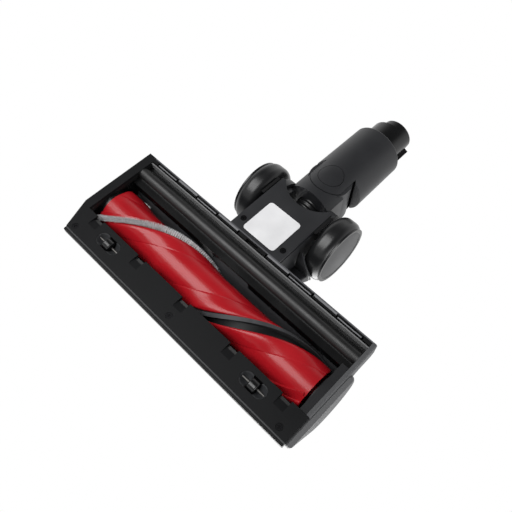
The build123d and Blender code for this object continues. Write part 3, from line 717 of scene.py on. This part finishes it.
def hose_tree(sizes):
    """Corrugated tube along Y: a circle swept along a line, its radius rising and falling."""
    tree, ids, given = open_tree("corrugated_hose", sizes)
    line = tree.nodes.new("GeometryNodeCurvePrimitiveLine")
    tree.links.new(vector(tree, 0.0, given["Start"], given["Height"]), line.inputs["Start"])
    tree.links.new(vector(tree, 0.0, given["End"], given["Height"]), line.inputs["End"])
    fine = tree.nodes.new("GeometryNodeResampleCurve")
    tree.links.new(line.outputs["Curve"], fine.inputs["Curve"])
    length = math_node(tree, "SUBTRACT", given["End"], given["Start"])
    ridges = math_node(tree, "DIVIDE", length, given["Pitch"])
    count = math_node(tree, "ADD", math_node(tree, "MULTIPLY", ridges, given["Rings"]), 1.0)
    tree.links.new(count, fine.inputs["Count"])
    along = tree.nodes.new("GeometryNodeSplineParameter").outputs["Length"]
    phase = math_node(tree, "MULTIPLY", math_node(tree, "DIVIDE", along, given["Pitch"]), 2 * pi)
    wave = math_node(tree, "ADD", math_node(tree, "COSINE", phase), 1.0)
    dip = math_node(tree, "MULTIPLY", math_node(tree, "MULTIPLY", wave, 0.5), given["Ridge"])
    radius = math_node(tree, "SUBTRACT", given["Radius"], dip)
    ring = tree.nodes.new("GeometryNodeCurvePrimitiveCircle")
    ring.inputs["Resolution"].default_value = 40
    ring.inputs["Radius"].default_value = 1.0
    sweep = tree.nodes.new("GeometryNodeCurveToMesh")
    tree.links.new(fine.outputs["Curve"], sweep.inputs["Curve"])
    tree.links.new(ring.outputs["Curve"], sweep.inputs["Profile Curve"])
    tree.links.new(radius, sweep.inputs["Scale"])
    close_tree(tree, sweep.outputs["Mesh"], given["Finish"])
    return tree, ids


def add_hose(finishes):
    """Corrugated hose: its skin is grown, then given a wall to the inside."""
    sizes = {
        "Start": hose_low.y, "End": hose_high.y, "Height": HOSE_Z, "Radius": HOSE_RADIUS,
        "Pitch": HOSE_PITCH, "Ridge": HOSE_RIDGE, "Rings": 8,
    }
    tree, ids = hose_tree(sizes)
    skin = grow("hose_skin", tree, ids, sizes, finishes["rubber"])
    wall = skin.modifiers.new("wall", "SOLIDIFY")
    wall.thickness = HOSE_WALL
    wall.offset = -1.0
    hose = settle("corrugated_hose", skin)
    hose.data.shade_smooth()
    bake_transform(hose)
    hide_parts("hose")


# Rear seal

def rib_tree(sizes):
    """Thin ribs along the rear seal, the same to both sides of its middle."""
    tree, ids, given = open_tree("seal_rib_row", sizes)
    index = tree.nodes.new("GeometryNodeInputIndex").outputs[0]
    step = math_node(tree, "FLOOR", math_node(tree, "DIVIDE", index, 2.0))
    turn = math_node(tree, "MULTIPLY", math_node(tree, "MODULO", index, 2.0), 2.0)
    side = math_node(tree, "SUBTRACT", 1.0, turn)
    out = math_node(tree, "ADD", given["First"], math_node(tree, "MULTIPLY", step, given["Spacing"]))
    points = tree.nodes.new("GeometryNodePoints")
    tree.links.new(math_node(tree, "MULTIPLY", given["Ribs Each Side"], 2.0), points.inputs["Count"])
    x = math_node(tree, "MULTIPLY", side, out)
    tree.links.new(vector(tree, x, given["Row Y"], given["Row Z"]), points.inputs["Position"])
    rib = tree.nodes.new("GeometryNodeMeshCube")
    tree.links.new(vector(tree, given["Length"], given["Width"], given["Height"]), rib.inputs["Size"])
    place = tree.nodes.new("GeometryNodeInstanceOnPoints")
    tree.links.new(points.outputs[0], place.inputs["Points"])
    tree.links.new(rib.outputs["Mesh"], place.inputs["Instance"])
    close_tree(tree, place.outputs["Instances"], given["Finish"])
    return tree, ids


def add_seal_ribs(finishes):
    """Ribs on the seal, painted pale as highlights on its lips: set back on every other segment and
    forward on the ones between.

    A row gives its first rib from the middle, the width of its ribs and its place before the rear.
    """
    rows = {
        "seal_ribs_back": (27.55 * MM, 1.5 * MM, 1.95 * MM),
        "seal_ribs_forward": (51.85 * MM, 0.8 * MM, 3.55 * MM),
    }
    for name, (first, width, inset) in rows.items():
        sizes = {
            "Ribs Each Side": 2, "First": first, "Spacing": 48.6 * MM, "Length": 22.3 * MM,
            "Width": width, "Height": 0.6 * MM, "Row Y": REAR - inset, "Row Z": SOLE + 0.05 * MM,
        }
        tree, ids = rib_tree(sizes)
        ribs = grow(name, tree, ids, sizes, finishes["rib"])
        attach(ribs, "head")


# Small pieces

def add_wheel_caps(finishes):
    """Smooth domed cap that closes the outside of each wheel centre."""
    rings, sectors = 8, 64
    crown, fall, sunk, margin = 0.4 * MM, 0.9 * MM, 1.0 * MM, 1.1 * MM
    turns = [2 * pi * i / sectors for i in range(sectors)]
    for side in ("left", "right"):
        low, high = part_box(side + "_hub")
        outward = 1 if low.x + high.x > 0 else -1
        face = high.x if outward > 0 else low.x
        y, z = (low.y + high.y) / 2, (low.z + high.z) / 2
        edge = (high.y - low.y) / 2 - margin
        # The dome ring by ring from its middle, then the edge of its flat back.
        circles = [(face + outward * (crown - fall * (ring / rings) ** 2), edge * ring / rings)
                   for ring in range(1, rings + 1)]
        circles.append((face - outward * sunk, edge))
        points = [(face + outward * crown, y, z)]
        points += [(x, y + reach * cos(turn), z + reach * sin(turn))
                   for x, reach in circles for turn in turns]
        faces = [(0, 1 + i, 1 + (i + 1) % sectors) for i in range(sectors)]
        for ring in range(rings):
            first = 1 + ring * sectors
            for i in range(sectors):
                j = (i + 1) % sectors
                faces.append((first + i, first + sectors + i, first + sectors + j, first + j))
        back = 1 + rings * sectors
        faces.append(tuple(range(back, back + sectors)))
        cap = solid(side + "_wheel_cap", points, faces, finishes["satin"], smooth=True)
        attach(cap, side + "_wheel")


def add_bare_label(finishes):
    """Plain white label with round corners on the underside of the neck cover, left bare."""
    half = 16.8 * MM
    y0, y1 = FRONT + 98.5 * MM, FRONT + 132.6 * MM
    corner = 3.0 * MM
    steps = 8
    outline = []
    for cx, cy, first in ((half - corner, y1 - corner, 0), (corner - half, y1 - corner, 1),
                          (corner - half, y0 + corner, 2), (half - corner, y0 + corner, 3)):
        for i in range(steps + 1):
            turn = (first + i / steps) * pi / 2
            outline.append((cx + corner * cos(turn), cy + corner * sin(turn)))
    label = prism("bare_label", outline, SOLE + 0.05 * MM, SOLE - 0.15 * MM, finishes["paper"])
    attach(label, "head")


def add_mudguards(finishes):
    """Curved guards before the wheels that close the space up to the neck housing.

    A guard gives its inner edge, its outer edge at the foot and further up, and the angle of its
    foot about the wheel.
    """
    guards = {
        "left": (-28.0 * MM, -31.0 * MM, -44.0 * MM, -30.0),
        "right": (28.0 * MM, 36.0 * MM, 38.0 * MM, -8.0),
    }
    inside, outside = 30.8 * MM, 32.8 * MM
    top = 18.0
    widening = 1.6
    steps = 16
    for side, (inner, outer_foot, outer, foot) in guards.items():
        low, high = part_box(side + "_tyre")
        y, z = (low.y + high.y) / 2, (low.z + high.z) / 2
        points = []
        for i in range(steps + 1):
            rise = radians(foot + (top - foot) * i / steps)
            end = outer_foot + (outer - outer_foot) * min(1.0, widening * i / steps)
            for x, radius in ((inner, inside), (end, inside), (end, outside), (inner, outside)):
                points.append((x, y - radius * cos(rise), z + radius * sin(rise)))
        blank = solid(side + "_guard_blank", points, tube_faces(4, steps), finishes["neck"])
        bevel = blank.modifiers.new("rounded", "BEVEL")
        bevel.width = 0.7 * MM
        bevel.segments = 3
        bevel.angle_limit = 0.8
        guard = settle(side + "_mudguard", blank)
        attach(guard, "head")


def add_caster_dishes(finishes):
    """Shallow moulded dishes to both sides of each front roller, around its wire.

    A dish starts beside the roller and ends round. It stops just short of the round end's tip,
    so that no face closes to a point there.
    """
    start, bend, round_end = 4.1 * MM, 6.3 * MM, 5.5 * MM
    tip = bend + 0.985 * round_end
    depth, thickness = 4.6 * MM, 0.8 * MM
    rim = SOLE + 0.05 * MM
    columns, rows = 14, 14
    for side in ("left", "right"):
        low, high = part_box(side + "_caster")
        cx, cy = (low.x + high.x) / 2, (low.y + high.y) / 2
        for name, way in (("inner", 1), ("outer", -1)):
            front = []
            for i in range(columns + 1):
                x = start + (tip - start) * i / columns
                past = max(0.0, x - bend)
                half = (round_end ** 2 - past ** 2) ** 0.5
                for j in range(rows + 1):
                    y = half * (2 * j / rows - 1)
                    share = (past ** 2 + y ** 2) / round_end ** 2
                    front.append((cx + way * x, cy + y, rim + depth * (1 - share)))
            back = [(x, y, z + thickness) for x, y, z in front]
            shape = slab(front, back, columns, rows)
            dish = solid(side + "_dish_" + name, *shape, finishes["dish"], smooth=True)
            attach(dish, "head")


def slab(front, back, columns, rows):
    """Points and faces of a closed sheet from two grids of points."""
    count = len(front)
    width = rows + 1
    faces = []
    for i in range(columns):
        for j in range(rows):
            a, b = i * width + j, (i + 1) * width + j
            faces.append((a, b, b + 1, a + 1))
            faces.append((count + a + 1, count + b + 1, count + b, count + a))
    rim = list(range(width)) + [i * width + rows for i in range(1, columns + 1)]
    rim += [columns * width + j for j in range(rows - 1, -1, -1)]
    rim += [i * width for i in range(columns - 1, 0, -1)]
    for k, a in enumerate(rim):
        b = rim[(k + 1) % len(rim)]
        faces.append((a, b, count + b, count + a))
    return front + back, faces


def add_painted_slot_shades(finishes):
    """Dark plates along both side edges of the neck cover, beside the wheels: painted shade of slots that
    are not cut.
    """
    y0, y1 = FRONT + 134.6 * MM, FRONT + 155.0 * MM
    edges = {"left_slot_shade": (-30.4 * MM, -27.4 * MM), "right_slot_shade": (27.9 * MM, 30.4 * MM)}
    for name, (x0, x1) in edges.items():
        outline = [(x0, y0), (x1, y0), (x1, y1), (x0, y1)]
        # Painted shade: a dark plate in place of a cut slot.
        slot = prism(name, outline, SOLE + 0.3 * MM, SOLE - 0.08 * MM, finishes["foot"])
        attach(slot, "head")


def add_hood_pad(finishes):
    """Small white felt pad on the inside of the hood, behind the driven end of the roller."""
    x0, x1 = 101.0 * MM, 111.0 * MM
    first, last = 106.0, 119.0
    outer, inner = HOOD_INSIDE, HOOD_INSIDE - 0.6 * MM
    steps = 8
    points = []
    for i in range(steps + 1):
        angle = radians(first + (last - first) * i / steps)
        points += [about_roller(x, radius, angle)
                   for x, radius in ((x0, outer), (x1, outer), (x1, inner), (x0, inner))]
    pad = solid("hood_pad", points, tube_faces(4, steps), finishes["felt"])
    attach(pad, "head")


place_camera()
set_world()
add_floor()
part_middle = (0.0, -0.03, 0.02)
add_softbox("softbox_below", (0.45, -0.50, -1.15), part_middle, size=1.0, power=16.0)
add_softbox("softbox_side", (-1.25, -0.30, -0.05), part_middle, size=0.8, power=8.0)
add_softbox("softbox_above", (-0.35, -0.45, 1.30), part_middle, size=1.1, power=16.0)
finishes = make_finishes()
dress_cad_nodes(finishes)
add_bristles(finishes)
add_strip_foot(finishes)
add_strip_ridges(finishes)
add_hose(finishes)
add_seal_ribs(finishes)
add_wheel_caps(finishes)
add_bare_label(finishes)
add_painted_slot_shades(finishes)
add_mudguards(finishes)
add_caster_dishes(finishes)
add_hood_pad(finishes)

bpy.context.scene.view_settings.view_transform = "Standard"
